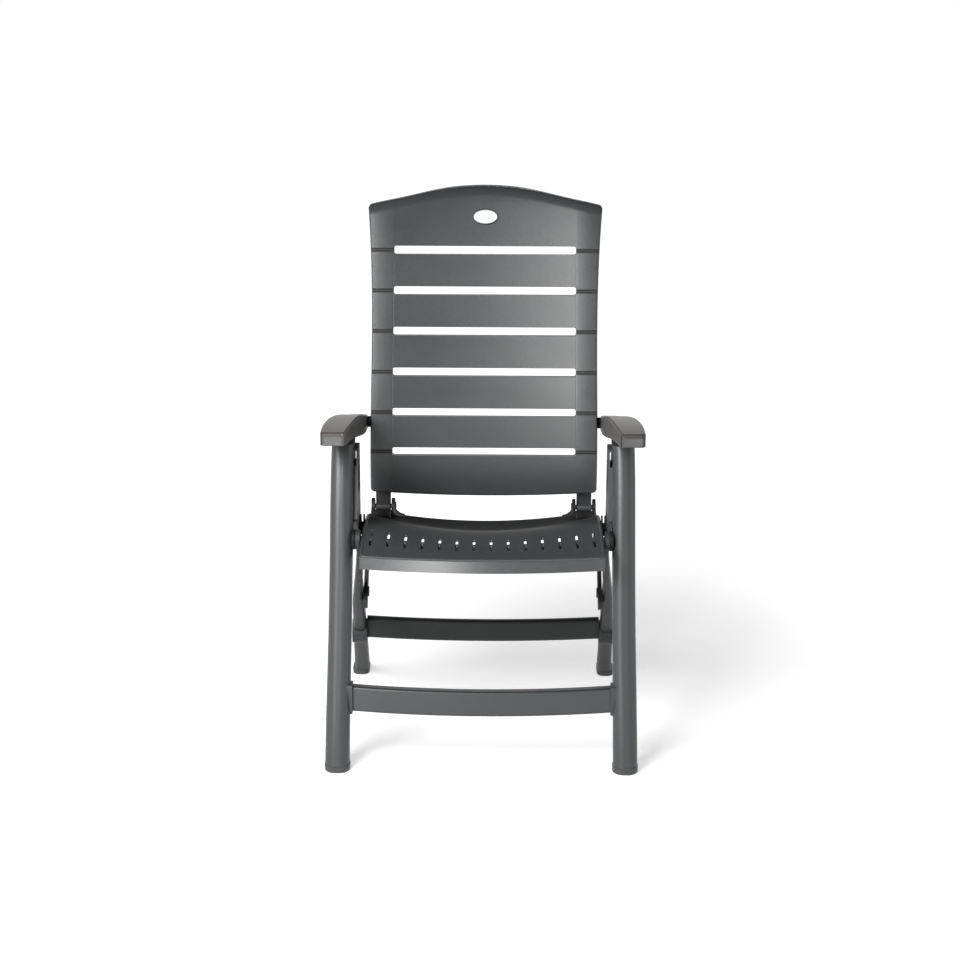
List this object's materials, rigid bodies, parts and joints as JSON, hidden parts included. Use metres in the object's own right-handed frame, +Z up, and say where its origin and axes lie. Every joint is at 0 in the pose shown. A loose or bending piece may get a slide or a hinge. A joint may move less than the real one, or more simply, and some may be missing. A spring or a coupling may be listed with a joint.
{
  "type": "reclining folding armchair",
  "caption": "Folding garden armchair in grey resin: slatted high back that reclines, dished seat, crossed legs and notched armrests.",
  "frame": {"origin": "middle of the bounding box, on the ground", "axes": "+Z up, +Y towards the backrest, +X to the sitter's left"},
  "size_m": [0.6386, 0.6447, 1.106],
  "materials": {
    "frame_resin": "satin moulded",
    "seat_resin": "satin moulded",
    "back_resin": "satin moulded",
    "arm_resin": "satin moulded",
    "foot_resin": "satin moulded",
    "black_bushing": "matt",
    "pin_steel": "black coated",
    "badge_face": "gloss",
    "badge_rim": "gloss"
  },
  "bodies": {
    "front_frame": {"front_leg_right": "frame_resin", "front_leg_left": "frame_resin", "front_crossbar": "frame_resin", "front_foot_cap_right": "foot_resin", "front_foot_cap_left": "foot_resin", "leg_pivot_pin_right": "pin_steel", "leg_pivot_pin_left": "pin_steel", "leg_pivot_spacer_right": "black_bushing", "leg_pivot_spacer_left": "black_bushing", "seat_pivot_bush_right": "black_bushing", "seat_pivot_bush_left": "black_bushing", "seat_pivot_pin_right": "pin_steel", "seat_pivot_pin_left": "pin_steel"},
    "rear_frame": {"rear_leg_right": "frame_resin", "rear_leg_left": "frame_resin", "rear_crossbar": "frame_resin", "rear_foot_cap_right": "foot_resin", "rear_foot_cap_left": "foot_resin", "lower_link_pin_right": "pin_steel", "lower_link_pin_left": "pin_steel"},
    "seat": {"seat_shell": "seat_resin", "upper_link_pin_right": "pin_steel", "upper_link_pin_left": "pin_steel"},
    "link_right": {"link_plate_right": "frame_resin"},
    "link_left": {"link_plate_left": "frame_resin"},
    "hinge_pins": {"back_hinge_pin_right": "pin_steel", "back_hinge_pin_left": "pin_steel"},
    "back": {"backrest": "back_resin", "hinge_tongue_right": "frame_resin", "hinge_tongue_left": "frame_resin", "badge": "badge_face", "badge_ring": "badge_rim"},
    "arm_pin_right": {"arm_pivot_pin_right": "pin_steel"},
    "arm_pin_left": {"arm_pivot_pin_left": "pin_steel"},
    "arm_bush_right": {"arm_bush_right": "black_bushing"},
    "arm_bush_left": {"arm_bush_left": "black_bushing"},
    "arm_right": {"armrest_right": "arm_resin", "notch_rack_right": "frame_resin"},
    "arm_left": {"armrest_left": "arm_resin", "notch_rack_left": "frame_resin"}
  },
  "joints": [
    {"name": "leg_fold", "type": "hinge", "parent": "front_frame", "child": "rear_frame", "pos_m": [0, -0.1979, 0.452], "axis": [-1, 0, 0], "range_deg": [0, 40]},
    {"name": "seat_fold", "type": "hinge", "parent": "front_frame", "child": "seat", "pos_m": [0, -0.0949, 0.446], "axis": [-1, 0, 0], "range_deg": [0, 56]},
    {"name": "back_counter_fold", "type": "hinge", "parent": "seat", "child": "hinge_pins", "pos_m": [0, 0.1171, 0.434], "axis": [-1, 0, 0], "range_deg": [-56, 0]},
    {"name": "back_recline", "type": "hinge", "parent": "hinge_pins", "child": "back", "pos_m": [0, 0.1171, 0.434], "axis": [-1, 0, 0], "range_deg": [0, 28]},
    {"name": "link_fold_right", "type": "hinge", "parent": "seat", "child": "link_right", "pos_m": [0, 0.0601, 0.372], "axis": [-1, 0, 0], "range_deg": [-42, 0]},
    {"name": "arm_fold_right", "type": "hinge", "parent": "back", "child": "arm_pin_right", "pos_m": [0, 0.1321, 0.618], "axis": [-1, 0, 0], "range_deg": [0, 56]},
    {"name": "arm_follow_right", "type": "hinge", "parent": "arm_pin_right", "child": "arm_bush_right", "pos_m": [0, 0.1321, 0.618], "axis": [-1, 0, 0], "range_deg": [-24.36, 0]},
    {"name": "arm_lift_right", "type": "hinge", "parent": "arm_bush_right", "child": "arm_right", "pos_m": [0, 0.1321, 0.618], "axis": [-1, 0, 0], "range_deg": [0, 30]},
    {"name": "link_fold_left", "type": "hinge", "parent": "seat", "child": "link_left", "pos_m": [0, 0.0601, 0.372], "axis": [-1, 0, 0], "range_deg": [-42, 0]},
    {"name": "arm_fold_left", "type": "hinge", "parent": "back", "child": "arm_pin_left", "pos_m": [0, 0.1321, 0.618], "axis": [-1, 0, 0], "range_deg": [0, 56]},
    {"name": "arm_follow_left", "type": "hinge", "parent": "arm_pin_left", "child": "arm_bush_left", "pos_m": [0, 0.1321, 0.618], "axis": [-1, 0, 0], "range_deg": [-24.36, 0]},
    {"name": "arm_lift_left", "type": "hinge", "parent": "arm_bush_left", "child": "arm_left", "pos_m": [0, 0.1321, 0.618], "axis": [-1, 0, 0], "range_deg": [0, 30]}
  ],
  "couplings": [
    {"joint": "seat_fold", "follows": "leg_fold", "ratio": 1.4},
    {"joint": "back_counter_fold", "follows": "leg_fold", "ratio": -1.4},
    {"joint": "link_fold_right", "follows": "leg_fold", "ratio": -1.05},
    {"joint": "arm_fold_right", "follows": "leg_fold", "ratio": 1.4},
    {"joint": "arm_follow_right", "follows": "back_recline", "ratio": -0.87},
    {"joint": "link_fold_left", "follows": "leg_fold", "ratio": -1.05},
    {"joint": "arm_fold_left", "follows": "leg_fold", "ratio": 1.4},
    {"joint": "arm_follow_left", "follows": "back_recline", "ratio": -0.87}
  ]
}
